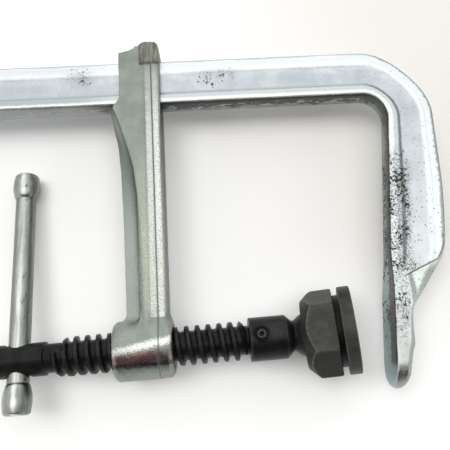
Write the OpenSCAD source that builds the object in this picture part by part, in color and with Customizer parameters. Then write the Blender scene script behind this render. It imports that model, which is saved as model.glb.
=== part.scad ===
// All-steel sliding-arm screw clamp.
// The clamp lies flat: +X runs along the rail towards the fixed jaw, +Y from the screw towards the
// rail, +Z up. The origin is the bottom centre of the whole clamp. Lengths are in millimetres.

/* [Rail] */
// Height of the rolled rail section, across its two lips
rail_h = 25; // [24:0.5:26]
// Thickness of the rail at the lips
rail_t = 12.5; // [12:0.5:13]
// Depth of the rolled recess in each face of the rail
web_recess = 1.3; // [0.8:0.1:1.6]
// Inner radius of the bend between the rail and the limb
bend_r = 12.5; // [11:0.5:14]
// Lean of the limb towards the sliding arm, in degrees
limb_lean = 6; // [5:0.5:6.5]
// Length of the rail to the left of the sliding arm's rest position
rail_tail = 222; // [150:1:400]
// Width of the fixed jaw, across its clamping face
jaw_w = 21; // [20:0.5:23]
// Diameter of the spring pin that stops the arm sliding off the rail
stop_pin_d = 5; // [4:0.5:6]

/* [Sliding arm] */
// Throat depth, from the rail to the screw axis at mid length
throat = 126; // [125:0.5:127]
// Outer diameter of the threaded boss
boss_d = 29; // [28:0.5:31]
// Length of the threaded boss
boss_l = 29; // [27:0.5:31]
// Play between the rail and the slot in the arm's head
slot_play = 0.35; // [0.3:0.05:0.6]

/* [Screw] */
// Outside diameter of the thread
screw_d = 19; // [18.5:0.1:19]
// Pitch of the right-hand thread
pitch = 5.4; // [5:0.1:6]
// Depth of the thread
thread_depth = 2.5; // [2:0.1:2.8]
// Slope of the screw axis against the rail, in degrees
toe = 1.8; // [1.5:0.1:2.1]
// Diameter of the plain head
head_d = 16.2; // [15.5:0.1:17]

/* [Tommy bar] */
// Diameter of the sliding tommy bar
tommy_d = 10.4; // [9.5:0.1:10.6]
// Length of the tommy bar over its two knobs
tommy_l = 125; // [115:1:130]
// Largest diameter of a knob
knob_d = 13.6; // [13:0.1:15]
// Turn of the tommy bar about the screw axis, in degrees below level
tommy_turn = 8.3; // [0:0.1:8.5]

/* [Pad] */
// Diameter of the ball
ball_d = 23; // [22.5:0.1:23.2]
// Diameter of the clamping plate
plate_d = 42.6; // [42:0.1:43]
// Width of the hexagon across its flats
hex_af = 37.5; // [37:0.1:38]
// Tilt of the pad on the ball in the plane of the clamp, in degrees
pad_tilt = 2; // [0:0.1:3]
// Lean of the pad on the ball, its face turned upwards, in degrees
pad_lean = 12.5; // [0:0.5:14]
// Turn of the hexagon about its own axis, in degrees
hex_turn = 10; // [0:1:15]

/* [Hidden] */
$fn = 64;
zinc = [0.80, 0.82, 0.84];
arm_zinc = [0.62, 0.65, 0.61];
black = [0.16, 0.16, 0.16];
fit_gap = 0.05;          // radial running clearance
arm_x = -35;             // rest position of the boss along the rail

// rail outline: straight to bend_x, round the bend, then down the leaning limb to limb_end_y
bend_x = 85.5;
limb_end_y = -80;
lip = 5;                 // width of each lip
er = 1.8;                // rounding of the section's edges
rail_end_x = arm_x - rail_tail;
stop_pin_x = rail_end_x + 9;
limb_w = rail_h + 0.2;   // width of the limb just after the bend
limb_end_w = 28.5;       // and where the jaw starts

// fixed jaw face: a plane that leans with face_lean through [face_x, face_y]
face_x = 87.15;
face_y = -122.4;
face_lean = 5.3;

// screw stations along its own axis, measured from x = 0
head_s0 = -114; head_s1 = -83; thread_s0 = -79.5; thread_s1 = 16;
sleeve_s0 = 16.7; sleeve_s1 = 37.7; ball_s = 48.3; shank_s1 = 32.6;
pin_s = 22.3;
sleeve_d = 21.4; neck_d = 15; shank_d = 12;
tommy_s = -96.4;         // cross hole in the head
tommy_short = 25.2;      // reach of the short end from the screw axis
knob_l = 14.5;

// lowest point and the middle of the box round everything
low_z = min(-(tommy_l - tommy_short - 3.5) * sin(tommy_turn) - (knob_d / 2 - 0.15) * cos(tommy_turn),
            15 * sin(pad_lean) - plate_d / 2 * cos(pad_lean));
box_mid_x = (rail_end_x + bend_x + bend_r + limb_w) / 2;
box_top_y = 34.3;
box_low_y = -throat + tommy_s * sin(toe) - tommy_short;
org = [box_mid_x, (box_top_y + box_low_y) / 2, low_z];

module place() { translate(-org) children(); }

// the screw's own frame: X along its axis, from the point at x = 0
module on_screw() { place() translate([0, -throat, 0]) rotate([0, 0, toe]) children(); }
// the pad turns with its seat ring in the plane of the clamp, and leans on the ring
module on_ring() { on_screw() translate([ball_s, 0, 0]) rotate([0, 0, pad_tilt]) children(); }
module on_pad() { on_ring() rotate([0, -pad_lean, 0]) children(); }
// the tommy bar's frame: Y along the bar, towards its long end
module on_tommy() { on_screw() translate([tommy_s, 0, 0]) rotate([-tommy_turn, 0, 0]) children(); }
module along_x(x0, x1, r, fn = 64) { translate([x0, 0, 0]) rotate([0, 90, 0]) cylinder(h = x1 - x0, r = r, $fn = fn); }
module turned(profile) { rotate([0, 90, 0]) rotate([0, 0, 90]) rotate_extrude() polygon(profile); }

function mix(a, b, t) = a + (b - a) * t;
function arc(cx, cy, r, a0, a1, n) = [for (i = [0:n]) let (a = mix(a0, a1, i / n)) [cx + r * cos(a), cy + r * sin(a)]];

// ---- rail: a chain of sections, each [inner point, outer point, crease, half heights, recess, blend]
// The crease is where the flat face ends; outside it the face falls away to the outer edge.
bend_c = [bend_x, -bend_r];
function outward(a) = [sin(a), cos(a)];
function bend_out(a) = bend_r + rail_h - 2.4 * pow(sin(2 * a), 2);
bend_last = 90 + limb_lean;
limb_in0 = bend_c + bend_r * outward(bend_last);
limb_out0 = bend_c + (bend_r + limb_w) * outward(bend_last);
limb_in1 = [limb_in0[0] + (limb_end_y - limb_in0[1]) * tan(limb_lean), limb_end_y];
limb_out1 = limb_in1 + [limb_end_w, 0];
ht = rail_t / 2;
hj = jaw_w / 2;
function face_at(y) = face_x + (y - face_y) * tan(face_lean) - 0.3;
// jaw sections: [y, inner x, outer x, crease x, half height inside, at the crease, outside]
jaw = [
    [-84,    90.5, 119.2, 118.2, ht,   ht,   4.8],
    [-88.5,  90.1, 118.0, 116.0, 6.5,  6.3,  4.0],
    [-91.5,  face_at(-91.5), 116.4, 113.0, 6.9, 6.4, 3.5],
    [-94.7,  face_at(-94.7), 114.2, 105.0, 7.6, 6.8, 3.1],
    [-98,    face_at(-98),   111.8, 97.4,  8.5, 8.0, 2.9],
    [-103,   face_at(-103),  108.1, 97.2,  9.6, 9.3, 3.1],
    [-109,   face_at(-109),  103.1, 97.2,  10.3, 10.2, 4.4],
    [-113,   face_at(-113),  99.3,  96.8,  hj,  hj, 6.6],
    [-116,   face_at(-116),  97.3,  96.0,  hj,  hj, 8.6],
    [-120,   face_at(-120),  96.5,  95.0,  hj,  hj, 9.4],
    [-126,   face_at(-126),  96.0,  94.2,  hj,  hj, 9.6],
    [-131.5, face_at(-131.5), 95.9, 93.6,  hj,  hj, 9.6],
    [-134.5, face_at(-134.5), 94.7, 92.6,  hj,  hj, 9.6],
    [-140,   face_at(-140),  93.4,  91.4,  hj,  hj, 9.4],
    [-145,   85.0, 92.3, 90.6, 9.7, 9.7, 9.0],
    [-148.5, 84.8, 91.2, 89.8, 7.9, 7.9, 7.3],
    [-150.8, 85.0, 90.0, 88.8, 5.7, 5.7, 5.1],
    [-152.1, 85.6, 89.0, 87.8, 3.5, 3.5, 3.0],
    [-152.6, 86.3, 88.0, 87.2, 1.9, 1.9, 1.6]];
sections = concat(
    [for (x = [rail_end_x, -120, 0, bend_x - 12]) [[x, 0], [x, rail_h], rail_h, ht, ht, ht, web_recess, 0]],
    [for (i = [0:12]) let (a = bend_last * i / 12)
        [bend_c + bend_r * outward(a), bend_c + (i == 12 ? bend_r + limb_w : bend_out(a)) * outward(a),
         rail_h, ht, ht, ht, web_recess, 0]],
    [for (i = [1:6]) let (t = i / 6, p = mix(limb_in0, limb_in1, t), q = mix(limb_out0, limb_out1, t))
        [p, q, norm(q - p), ht, ht, ht, web_recess * (1 - pow(t, 3)), pow(t, 3)]],
    [for (j = jaw) [[j[1], j[0]], [j[2], j[0]], j[3] - j[1], j[4], j[5], j[6], 0, 1]]);

function half_height(s, u, w) =
    u <= s[2] ? mix(s[3], s[4], u / s[2]) : mix(s[4], s[5], (u - s[2]) / max(w - s[2], 0.01));
// one face of a section from the inner to the outer edge, as [distance from the inner edge, height]
function face_points(s) =
    let (w = norm(s[1] - s[0]), e = min(er, w / 4), k = w / rail_h, c = min(max(s[2], e + 0.3), w - e - 0.3),
         u = [for (i = [0:3]) mix([lip * k, (lip + 1.6) * k, w - 10.5 * k, w - 5.5 * k][i],
                                  [mix(e, c, 0.35), mix(e, c, 0.7), c, (c + w - e) / 2][i], s[7])])
    [[0, s[3] - e], [0.3 * e, s[3] - 0.3 * e], [e, s[3]],
     [u[0], half_height(s, u[0], w)], [u[1], half_height(s, u[1], w) - s[6]],
     [u[2], half_height(s, u[2], w) - s[6]], [u[3], half_height(s, u[3], w)],
     [w - e, half_height(s, w - e, w)], [w - 0.3 * e, s[5] - 0.3 * e], [w, max(s[5] - e, 0.8)]];
function ring(s) =
    let (f = face_points(s), d = (s[1] - s[0]) / norm(s[1] - s[0]), n = len(f))
    [for (i = [0:2 * n - 1]) let (p = i < n ? f[i] : f[2 * n - 1 - i], xy = s[0] + d * p[0])
        [xy[0], xy[1], i < n ? p[1] : -p[1]]];

module rail_blank() {
    rings = [for (s = sections) ring(s)];
    n = len(rings[0]);
    m = len(rings);
    sides = [for (j = [0:m - 2], i = [0:n - 1]) let (a = j * n + i, b = j * n + (i + 1) % n)
        each [[a, a + n, b + n], [a, b + n, b]]];
    caps = [[for (i = [0:n - 1]) i], [for (i = [n - 1:-1:0]) (m - 1) * n + i]];
    polyhedron(points = [for (r = rings) each r], faces = concat(sides, caps));
}

module rail() {
    color(zinc) place() difference() {
        rail_blank();
        // clamping face, cut flat
        translate([face_x, face_y, 0]) rotate([0, 0, -face_lean])
            translate([-5, -22.5, -20]) cube([5, 53, 40]);
        translate([stop_pin_x, rail_h / 2, -20]) cylinder(h = 40, d = stop_pin_d);
    }
}

module rail_stop_pin() {
    color(zinc) place() translate([stop_pin_x, rail_h / 2, -9.5]) difference() {
        cylinder(h = 19, d = stop_pin_d);
        translate([0, 0, -1]) cylinder(h = 21, d = stop_pin_d - 2, $fn = 32);
        translate([0, -0.4, -1]) cube([stop_pin_d, 0.8, 21]);
    }
}

// ---- sliding arm, in the rail's frame; the flange faces the fixed jaw and the web trails behind it
arm_front = -22.8;
head_top = [[-44.2, 28.8], [-38.7, 30.1], [-33.4, 32.5], [-30.3, 33.6]];
raised_edge = [[-47.8, -2.4], [-45.8, -7.6], [-42.1, -18.8], [-39.9, -26.6], [-37.6, -36],
               [-35.9, -51], [-35.1, -66], [-34.4, -89], [-34.0, -116]];
web_edge = [[-48.7, -4.7], [-47.2, -13], [-45.5, -22], [-44.2, -36], [-43.2, -65], [-42.6, -116]];

module slab(points, half) { translate([0, 0, -half]) linear_extrude(2 * half) polygon(points); }
// the arm's side, with its trailing edge moved back by d
module side_slab(d, half) {
    slab(concat(head_top, [[arm_front, 30], [arm_front, -116]],
                [for (i = [len(raised_edge) - 1:-1:0]) raised_edge[i] - [i < 2 ? 0 : d, 0]],
                [[-44.2, 3.2]]), half);
}

module arm_blank() {
    web_half = 3.4;
    fillet = 4.5;
    side_slab(0, 9.4);
    for (a = [20, 40, 60, 78]) side_slab(fillet * (1 - sin(a)), web_half + fillet * (1 - cos(a)));
    slab(concat(web_edge, [[arm_front - 2, -116], [arm_front - 2, -4.7]]), web_half);
    // flange, with a little draft on both sides of the parting line
    translate([0, 34.3, 0]) rotate([90, 0, 0]) linear_extrude(34.3 + 116)
        polygon([for (z = [1, -1]) for (p = (z > 0 ? [[-22.8, 7], [-23.3, 10.2], [-26.9, 10.7], [-30.3, 10.3], [-34, 9.3]]
                                                   : [[-34, 9.3], [-30.3, 10.3], [-26.9, 10.7], [-23.3, 10.2], [-22.8, 7]]))
                     [p[0], z * p[1]]]);
    // raised end of the flange
    slab([[-33, 20.4], [-33, 33], [-30.2, 34.3], [-24.2, 33.2], [-22.6, 27], [-22.6, 20.4]], 11.2);
}

module sliding_arm() {
    boss_r = boss_d / 2;
    c = 2.5;
    color(arm_zinc) difference() {
        union() {
            place() intersection() {
                arm_blank();
                union() {
                    translate([-60, -118, -20]) cube([30, 160, 40]);
                    translate([-31, -118, -20]) cube([9, 160, 40]);
                }
            }
            on_screw() translate([arm_x, 0, 0])
                turned(concat([[0, -boss_l / 2]], arc(boss_r - c, -boss_l / 2 + c, c, -90, 0, 5),
                              arc(boss_r - c, boss_l / 2 - c, c, 0, 90, 5), [[0, boss_l / 2]]));
        }
        place() translate([-60, -slot_play, -ht - slot_play])
            cube([60, rail_h + 2 * slot_play, rail_t + 2 * slot_play]);
        on_screw() along_x(arm_x - boss_l, arm_x + boss_l, screw_d / 2 + fit_gap);
    }
}

// ---- screw
thread_n = 36;           // steps per turn
root_r = screw_d / 2 - thread_depth;
crest_w = 0.34;          // share of the pitch
flank_w = 0.13;
// the thread's form over one pitch: [share of the pitch, radius]
form = [[0, root_r], [flank_w, screw_d / 2], [flank_w + crest_w, screw_d / 2], [2 * flank_w + crest_w, root_r]];
thread_phase = 70;       // where the thread starts, in degrees

// A closed solid of one long strip: each column is one step round, each row a point of the form.
module thread(s0, s1) {
    turns = (s1 - s0) / pitch - 1;
    steps = floor(turns * thread_n);
    k = len(form);
    pts = [for (i = [0:steps], j = [0:k - 1])
        let (a = thread_phase + 360 * i / thread_n, x = s0 + pitch * (i / thread_n + form[j][0]), r = form[j][1])
        [x, r * cos(a), r * sin(a)]];
    // the last point of a column is joined to the first point of the column one turn on
    strip = [for (i = [0:steps - 1], j = [0:k - 2]) let (a = i * k + j, b = a + k)
        each [[a, a + 1, b + 1], [a, b + 1, b]]];
    root = [for (i = [0:steps - thread_n - 1]) let (a = i * k + k - 1, b = a + k, c = (i + thread_n) * k, d = c + k)
        each [[a, c, d], [a, d, b]]];
    // caps: a fan from the axis over the first turn's roots and the last turn's
    first = len(pts);
    last = first + 1;
    start = concat([for (i = [0:thread_n - 1]) [first, i * k, (i + 1) * k]],
                   [[first, thread_n * k, k - 1], [for (j = [k - 1:-1:0]) j, first]]);
    e = steps - thread_n;
    finish = concat([for (i = [e:steps - 1]) [last, (i + 1) * k + k - 1, i * k + k - 1]],
                    [[last, e * k + k - 1, steps * k],
                     concat([for (j = [0:k - 1]) steps * k + j], [last])]);
    polyhedron(points = concat(pts, [[s0 + pitch * 0.5, 0, 0], [s1 - pitch * 0.5, 0, 0]]),
               faces = concat(strip, root, start, finish), convexity = 10);
}

module spindle() {
    head_r = head_d / 2;
    hole_r = tommy_d / 2 + 0.3;
    color(black) difference() {
        union() {
            on_screw() turned(concat([[0, head_s0], [head_r - 1.2, head_s0]], [[head_r, head_s0 + 1.2]],
                [[head_r, head_s1], [root_r + 0.4, head_s1 + 0.3], [root_r + 0.4, thread_s0 + 2],
                 [root_r - 0.2, thread_s0 + 4], [root_r - 0.2, thread_s1 - 3.5], [shank_d / 2, thread_s1 - 1],
                 [shank_d / 2, pin_s - 2.6], [4, pin_s - 2.6], [4, pin_s + 2.6], [shank_d / 2, pin_s + 2.6],
                 [shank_d / 2, shank_s1 - 0.8], [shank_d / 2 - 0.8, shank_s1], [0, shank_s1]]));
            on_screw() thread(thread_s0, thread_s1);
        }
        on_tommy() {
            rotate([-90, 0, 0]) translate([0, 0, -20]) cylinder(h = 40, r = hole_r);
            for (m = [0, 1]) mirror([0, m, 0]) rotate([-90, 0, 0])
                translate([0, 0, head_r - 2.2]) cylinder(h = 4, r1 = hole_r, r2 = hole_r + 3.2);
        }
    }
}

// ---- sleeve, neck and ball in one piece, held on the screw's end by a pin in a ring groove
pin_turn = 14;           // turn of the pin about the screw axis, towards the rail
pin_d = 4.5;
module on_pin() { on_screw() translate([pin_s, 0, 0]) rotate([-pin_turn, 0, 0]) children(); }

module ball_tip() {
    r = sleeve_d / 2;
    color(black) difference() {
        on_screw() union() {
            turned([[0, sleeve_s0], [r - 0.4, sleeve_s0], [r, sleeve_s0 + 0.4], [r, sleeve_s1 - 2.8],
                    [neck_d / 2 + 0.3, sleeve_s1], [neck_d / 2, sleeve_s1 + 0.4], [neck_d / 2, ball_s], [0, ball_s]]);
            translate([ball_s, 0, 0]) sphere(d = ball_d);
        }
        on_screw() along_x(sleeve_s0 - 1, shank_s1 + 0.4, shank_d / 2 + fit_gap);
        on_pin() cylinder(h = 20, d = pin_d + 0.1);
        on_pin() translate([0, 0, r - 1]) cylinder(h = 5, d = 6.6);
    }
}

module tip_pin() {
    color(black) on_pin() difference() {
        translate([0, 0, 4.4]) cylinder(h = sleeve_d / 2 - 0.3 - 4.4, d = pin_d);
        translate([0, 0, sleeve_d / 2 - 2.3]) cylinder(h = 3, d = 2.2, $fn = 6);
    }
}

// ---- pad, along its own axis from the ball's centre
back_x = -4; hex_x = 12.1; plate_x = 14.9; face_end_x = 21;
boss_x = 4; pad_boss_r = 15; shoulder_r = 17.5;
seat_r = ball_d / 2 + fit_gap;
ring_r = 13.2;

module pad_housing() {
    corner = hex_af / 2 / cos(30);
    color([0.28, 0.28, 0.27]) on_pad() difference() {
        intersection() {
            rotate([-hex_turn, 0, 0]) rotate([0, 90, 0]) rotate([0, 0, 90])
                translate([0, 0, back_x]) cylinder(h = hex_x - back_x, r = corner, $fn = 6);
            turned([[0, back_x], [16.5, back_x], [corner + 0.1, back_x + 5.7], [corner + 0.1, hex_x - 0.8],
                    [corner - 0.7, hex_x], [0, hex_x]]);
        }
        sphere(r = ring_r + fit_gap);
        along_x(0, boss_x, ring_r + fit_gap);
        along_x(boss_x - 0.01, hex_x + 1, pad_boss_r + 0.02);
        turned([[0, back_x - 1], [13.4, back_x - 1], [12.3, back_x + 0.6], [0, back_x + 0.6]]);
    }
}

module pad_seat_ring() {
    // the spheres' poles point along the axis, clear of the ring
    color([0.30, 0.30, 0.29]) on_ring() difference() {
        intersection() {
            rotate([0, 90, 0]) sphere(r = ring_r);
            along_x(-2.4, 0.4, 20);
        }
        rotate([0, 90, 0]) sphere(r = seat_r);
    }
}

module pad_plate() {
    r = plate_d / 2;
    color([0.30, 0.30, 0.28]) on_pad() difference() {
        turned([[0, boss_x], [pad_boss_r - 0.6, boss_x], [pad_boss_r, boss_x + 0.6], [pad_boss_r, hex_x],
                [shoulder_r, hex_x], [shoulder_r, plate_x], [r - 0.5, plate_x], [r, plate_x + 0.5],
                [r, face_end_x - 0.5], [r - 0.5, face_end_x], [0, face_end_x]]);
        sphere(r = seat_r);
    }
}

// ---- tommy bar and its two pressed-on knobs
long_seam = tommy_l - tommy_short - knob_l;
short_seam = tommy_short - knob_l;
tenon_r = 3.5;
module tommy_bar() {
    color(zinc) on_tommy() rotate([-90, 0, 0]) {
        translate([0, 0, -short_seam]) cylinder(h = short_seam + long_seam, d = tommy_d);
        translate([0, 0, -short_seam - 10]) cylinder(h = short_seam + long_seam + 20, r = tenon_r);
    }
}

// a barrel knob whose seam is at 0 and whose flat end is at knob_l
module knob() {
    bar_r = tommy_d / 2;
    r = knob_d / 2;
    bulge = [for (i = [0:8]) let (t = i / 8) [mix(bar_r + 0.15, r - 0.6, t) + 1.15 * sin(180 * pow(t, 0.9)), (knob_l - 0.8) * t]];
    rotate([-90, 0, 0]) difference() {
        rotate_extrude() polygon(concat([[0, 0]], bulge, [[r - 1.4, knob_l], [0, knob_l]]));
        translate([0, 0, -1]) cylinder(h = 11.2, r = tenon_r + 0.02);
    }
}
module tommy_knob_long() { color(zinc) on_tommy() translate([0, long_seam, 0]) knob(); }
module tommy_knob_short() { color(zinc) on_tommy() mirror([0, 1, 0]) translate([0, short_seam, 0]) knob(); }

rail();
rail_stop_pin();
sliding_arm();
spindle();
ball_tip();
tip_pin();
pad_housing();
pad_seat_ring();
pad_plate();
tommy_bar();
tommy_knob_long();
tommy_knob_short();
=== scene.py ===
"""Looks of an all-steel sliding-arm screw clamp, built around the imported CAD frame."""

import math

import bmesh
import bpy
import numpy as np
from mathutils import Matrix, Vector
from mathutils.kdtree import KDTree


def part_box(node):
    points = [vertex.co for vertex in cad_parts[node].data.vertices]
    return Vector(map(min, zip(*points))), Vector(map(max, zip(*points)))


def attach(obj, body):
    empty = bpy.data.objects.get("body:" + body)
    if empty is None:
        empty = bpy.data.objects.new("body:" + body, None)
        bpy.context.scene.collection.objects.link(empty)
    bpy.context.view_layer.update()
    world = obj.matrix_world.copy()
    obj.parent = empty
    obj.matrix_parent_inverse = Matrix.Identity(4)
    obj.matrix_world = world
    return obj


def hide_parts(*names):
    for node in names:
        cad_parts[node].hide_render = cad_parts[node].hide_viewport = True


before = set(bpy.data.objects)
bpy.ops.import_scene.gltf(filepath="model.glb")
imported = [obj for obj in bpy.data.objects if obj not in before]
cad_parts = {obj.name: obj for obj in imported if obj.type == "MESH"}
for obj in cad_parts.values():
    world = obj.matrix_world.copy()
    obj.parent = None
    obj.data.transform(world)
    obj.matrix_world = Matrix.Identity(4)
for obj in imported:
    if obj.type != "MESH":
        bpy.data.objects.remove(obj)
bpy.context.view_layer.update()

# ---- places: each part is drawn in millimetres in its own frame, then put where the CAD has it
rail_lo, rail_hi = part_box("rail")
RAIL_LEFT, RAIL_H = -257.0, 25.0
# the rail's own origin, in the row's metres
ORIGIN = np.array([rail_lo.x - RAIL_LEFT / 1000, rail_hi.y - RAIL_H / 1000, (rail_lo.z + rail_hi.z) / 2])


def turn(axis, degrees):
    return np.array(Matrix.Rotation(math.radians(degrees), 3, axis))


class Place:
    """A frame inside the clamp: a rotation and a point, in the rail's millimetres."""

    def __init__(self, rotation=np.eye(3), point=(0, 0, 0)):
        self.r, self.p = rotation, np.array(point, float)

    def at(self, point, rotation=np.eye(3)):
        return Place(self.r @ rotation, self.r @ np.array(point, float) + self.p)

    def row(self, points):
        """Points of this frame in the row's metres."""
        return (np.asarray(points, float) @ self.r.T + self.p) / 1000 + ORIGIN

    def own(self, points):
        """The row's metres back in this frame."""
        return ((np.asarray(points, float) - ORIGIN) * 1000 - self.p) @ self.r


TOE, THROAT = 1.8, 126
BALL_R, BALL_S = 11.5, 48.3
CLAMP = Place()
SCREW = Place(turn("Z", TOE), (0, -THROAT, 0))
RING = SCREW.at((BALL_S, 0, 0), turn("Z", 2.0))
PAD = RING.at((0, 0, 0), turn("Y", -12.5))
TOMMY = SCREW.at((-96.4, 0, 0), turn("X", -8.3))
PIN = SCREW.at((22.3, 0, 0), turn("X", -14))


# ---- curves and meshes
def smooth(t, a=0.0, b=1.0):
    t = np.clip((np.asarray(t, float) - a) / (b - a), 0, 1)
    return t * t * (3 - 2 * t)


def softened(corners, steps=4):
    """A polyline whose corners (a, b, cut) are rounded off, starting `cut` before each corner."""
    pts = [np.array(c[:2], float) for c in corners]
    out = []
    for i, p in enumerate(pts):
        cut = corners[i][2] if len(corners[i]) > 2 else 0
        if cut == 0 or i in (0, len(pts) - 1):
            out.append(p)
            continue
        q, r = pts[i - 1] - p, pts[i + 1] - p
        lq, lr = np.linalg.norm(q), np.linalg.norm(r)
        c = min(cut, 0.48 * lq, 0.48 * lr)
        a, b = p + q / lq * c, p + r / lr * c
        for k in range(steps + 1):
            t = k / steps
            out.append((1 - t) ** 2 * a + 2 * t * (1 - t) * p + t * t * b)
    return np.array(out)


def lathe(profile, n=96, closed=False):
    """Turns (along, radius) points about the first axis. A point on the axis becomes a single vertex."""
    verts, rings = [], []
    angles = np.arange(n) * 2 * math.pi / n
    for a, r in profile:
        if r < 1e-6:
            rings.append([len(verts)] * n)
            verts.append((a, 0, 0))
        else:
            rings.append(list(range(len(verts), len(verts) + n)))
            verts += [(a, r * math.cos(t), r * math.sin(t)) for t in angles]
    faces = []
    pairs = list(zip(rings, rings[1:])) + ([(rings[-1], rings[0])] if closed else [])
    for low, high in pairs:
        for i in range(n):
            j = (i + 1) % n
            face = [low[i], high[i], high[j], low[j]]
            face = [v for k, v in enumerate(face) if v != face[k - 1]]
            if len(face) > 2:
                faces.append(face)
    return np.array(verts, float), faces


def stepped(points, step):
    """The same profile with its long runs cut into steps."""
    out = []
    for a, b in zip(points, points[1:]):
        a, b = np.array(a, float), np.array(b, float)
        k = max(1, int(abs(b[0] - a[0]) / step))
        out += [tuple(a + (b - a) * i / k) for i in range(k)]
    return out + [tuple(points[-1])]


def swap_axis(mesh, axis):
    """Turns a lathe's axis from the first one to Y or Z."""
    return np.roll(mesh[0], {"Y": 1, "Z": 2}[axis], axis=1), mesh[1]


def arc(radius, start, stop, count):
    return [(radius * math.cos(t), radius * math.sin(t)) for t in np.linspace(start, stop, count)]


def loft(rings):
    """Rings of equally many points, joined side to side and closed with a fan at both ends."""
    rings = np.array(rings)
    m, n = rings.shape[:2]
    verts = rings.reshape(-1, 3)
    i, j = np.meshgrid(np.arange(m - 1), np.arange(n), indexing="ij")
    a, b = i * n + j, i * n + (j + 1) % n
    faces = np.stack([a, b, b + n, a + n], -1).reshape(-1, 4).tolist()
    first, last = len(verts), len(verts) + 1
    verts = np.vstack([verts, rings[0].mean(0), rings[-1].mean(0)])
    faces += [[first, (k + 1) % n, k] for k in range(n)]
    end = (m - 1) * n
    faces += [[last, end + k, end + (k + 1) % n] for k in range(n)]
    return verts, faces


def skin(field, xs, ys, zs, passes=3):
    """The surface where field(x, y, z) is 0, as quads: one vertex in each cell that it crosses."""
    grid = np.meshgrid(xs, ys, zs, indexing="ij")
    d = field(*grid)
    inside = d < 0
    cells = tuple(k - 1 for k in d.shape)
    total, count = np.zeros(cells + (3,)), np.zeros(cells)
    crossings = []
    for ax in range(3):
        b, c = (ax + 1) % 3, (ax + 2) % 3
        lo, hi = [slice(None)] * 3, [slice(None)] * 3
        lo[ax], hi[ax] = slice(0, -1), slice(1, None)
        lo, hi = tuple(lo), tuple(hi)
        cut = inside[lo] != inside[hi]
        gap = np.where(cut, d[lo] - d[hi], 1.0)
        t = d[lo] / gap
        p = np.stack([g[lo] for g in grid], -1)
        p[..., ax] += t * (grid[ax][hi] - grid[ax][lo])
        p[~cut] = 0
        crossings.append((ax, b, c, cut, inside[lo]))
        for ob in (0, 1):
            for oc in (0, 1):
                sel = [slice(None)] * 3
                sel[b], sel[c] = slice(ob, ob + cells[b]), slice(oc, oc + cells[c])
                sel = tuple(sel)
                total += p[sel]
                count += cut[sel]
    used = count > 0
    index = np.full(cells, -1)
    index[used] = np.arange(used.sum())
    verts = total[used] / count[used][:, None]
    faces = []
    for ax, b, c, cut, outward in crossings:
        ids = np.argwhere(cut)
        keep = (ids[:, b] > 0) & (ids[:, b] < cells[b]) & (ids[:, c] > 0) & (ids[:, c] < cells[c])
        ids = ids[keep]
        quad = []
        for ob, oc in ((1, 1), (0, 1), (0, 0), (1, 0)):
            k = ids.copy()
            k[:, b] -= ob
            k[:, c] -= oc
            quad.append(index[tuple(k.T)])
        quad = np.stack(quad, -1)
        flip = ~outward[tuple(ids.T)]
        quad[flip] = quad[flip][:, ::-1]
        faces += quad.tolist()
    reach = 0.4 * float(np.median(np.diff(ys)))
    h = 0.04
    for _ in range(passes):
        here = field(*verts.T)
        slope = np.stack([(field(*(verts + h * e).T) - field(*(verts - h * e).T)) / (2 * h)
                          for e in np.eye(3)], -1)
        size = np.maximum((slope ** 2).sum(-1), 0.05)
        verts = verts - slope * (np.clip(here, -reach, reach) / size)[:, None]
    return verts, faces


# signed distances, negative inside
def outline(points):
    points = np.array(points, float)

    def distance(x, y):
        best = np.full(np.shape(x), 1e9)
        odd = np.zeros(np.shape(x), bool)
        for a, b in zip(points, np.roll(points, -1, axis=0)):
            ex, ey = b - a
            wx, wy = x - a[0], y - a[1]
            t = np.clip((wx * ex + wy * ey) / (ex * ex + ey * ey), 0, 1)
            best = np.minimum(best, (wx - ex * t) ** 2 + (wy - ey * t) ** 2)
            if ey != 0:
                odd ^= ((a[1] <= y) != (b[1] <= y)) & (x < a[0] + ex * (y - a[1]) / ey)
        return np.where(odd, -1, 1) * np.sqrt(best)

    return distance


def slab(flat, z, half, edge=0.0):
    a, b = flat + edge, np.abs(z) - half + edge
    return np.minimum(np.maximum(a, b), 0) + np.hypot(np.maximum(a, 0), np.maximum(b, 0)) - edge


def join(a, b, r):
    """Union with a fillet of radius r."""
    return np.maximum(r, np.minimum(a, b)) - np.hypot(np.maximum(r - a, 0), np.maximum(r - b, 0))


def common(a, b, r):
    """Intersection with an edge rounded to radius r."""
    return -join(-a, -b, r)


# ---- pieces
CARVED_SHARP = 32


def added(name, data):
    obj = bpy.data.objects.new(name, data)
    bpy.context.scene.collection.objects.link(obj)
    return obj


def piece(name, mesh, place, body, nodes, material, sharp=40, marks=None):
    """A mesh in its own frame, put in its place, with its marks for the material; with no body it is a tool."""
    verts, faces = mesh
    data = bpy.data.meshes.new(name)
    data.from_pydata(place.row(verts).tolist(), [], faces)
    data.validate()
    shell = bmesh.new()
    shell.from_mesh(data)
    if shell.calc_volume(signed=True) < 0:  # inside out
        data.flip_normals()
    shell.free()
    own = data.attributes.new("own", "FLOAT_VECTOR", "POINT")
    own.data.foreach_set("vector", np.asarray(verts, np.float32).ravel())
    for key, values in (marks or {}).items():
        mark = data.attributes.new(key, "FLOAT", "POINT")
        mark.data.foreach_set("value", np.asarray(values, np.float32))
    data.shade_smooth()
    data.set_sharp_from_angle(angle=math.radians(sharp))
    data.materials.append(material)
    obj = added(name, data)
    if body:
        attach(obj, body)
        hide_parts(*nodes)
    return obj


def places_of(data):
    flat = np.empty(len(data.vertices) * 3, np.float32)
    data.vertices.foreach_get("co", flat)
    return flat.reshape(-1, 3)


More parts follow.
